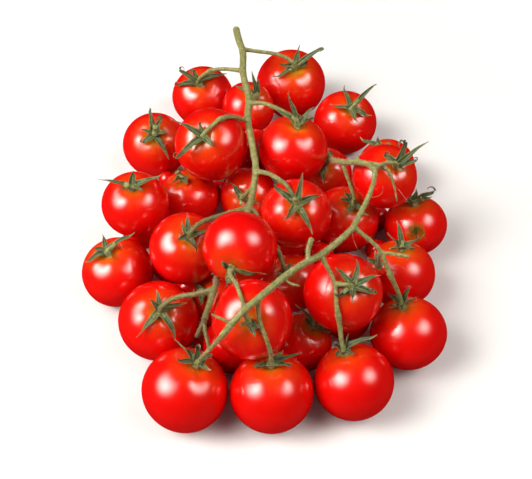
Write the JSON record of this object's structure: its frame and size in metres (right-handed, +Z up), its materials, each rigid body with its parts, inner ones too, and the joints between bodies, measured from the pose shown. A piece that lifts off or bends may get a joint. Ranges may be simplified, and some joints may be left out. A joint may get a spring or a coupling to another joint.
{
  "type": "truss of tomatoes",
  "caption": "Ripe red cocktail tomatoes on a branched green stem, each with a pointed leafy calyx, lying in a loose heap as cut from the plant.",
  "frame": {"origin": "on the table under the middle of the heap's bounding box", "axes": "+Z up, +Y along the main stem towards its cut end, +X to the right in the picture"},
  "size_m": [0.2008, 0.2696, 0.0807],
  "materials": {
    "tomato_skin": "smooth glossy skin, ripe red, orange round the calyx",
    "calyx_green": "matt hairy leaf green with dry brown tips",
    "stalk_green": "matt pale yellow-green stalk with fine hairs"
  },
  "bodies": {
    "root": {"calyx_01": "calyx_green", "calyx_03": "calyx_green", "calyx_04": "calyx_green", "calyx_06": "calyx_green", "calyx_09": "calyx_green", "calyx_10": "calyx_green", "calyx_11": "calyx_green", "calyx_13": "calyx_green", "calyx_19": "calyx_green", "calyx_21": "calyx_green", "calyx_25": "calyx_green", "calyx_27": "calyx_green", "calyx_30": "calyx_green", "fruit_01": "tomato_skin", "fruit_02": "tomato_skin", "fruit_03": "tomato_skin", "fruit_04": "tomato_skin", "fruit_05": "tomato_skin", "fruit_06": "tomato_skin", "fruit_07": "tomato_skin", "fruit_08": "tomato_skin", "fruit_09": "tomato_skin", "fruit_10": "tomato_skin", "fruit_11": "tomato_skin", "fruit_12": "tomato_skin", "fruit_13": "tomato_skin", "fruit_14": "tomato_skin", "fruit_15": "tomato_skin", "fruit_16": "tomato_skin", "fruit_17": "tomato_skin", "fruit_18": "tomato_skin", "fruit_19": "tomato_skin", "fruit_20": "tomato_skin", "fruit_21": "tomato_skin", "fruit_22": "tomato_skin", "fruit_23": "tomato_skin", "fruit_24": "tomato_skin", "fruit_25": "tomato_skin", "fruit_26": "tomato_skin", "fruit_27": "tomato_skin", "fruit_28": "tomato_skin", "fruit_29": "tomato_skin", "fruit_30": "tomato_skin", "fruit_31": "tomato_skin", "fruit_32": "tomato_skin", "fruit_33": "tomato_skin", "fruit_34": "tomato_skin", "fruit_35": "tomato_skin", "fruit_36": "tomato_skin", "fruit_37": "tomato_skin", "fruit_38": "tomato_skin", "fruit_39": "tomato_skin", "fruit_40": "tomato_skin", "fruit_41": "tomato_skin", "fruit_42": "tomato_skin", "fruit_43": "tomato_skin", "fruit_44": "tomato_skin", "fruit_45": "tomato_skin", "stem_lower": "stalk_green", "stem_upper": "stalk_green"}
  },
  "joints": []
}
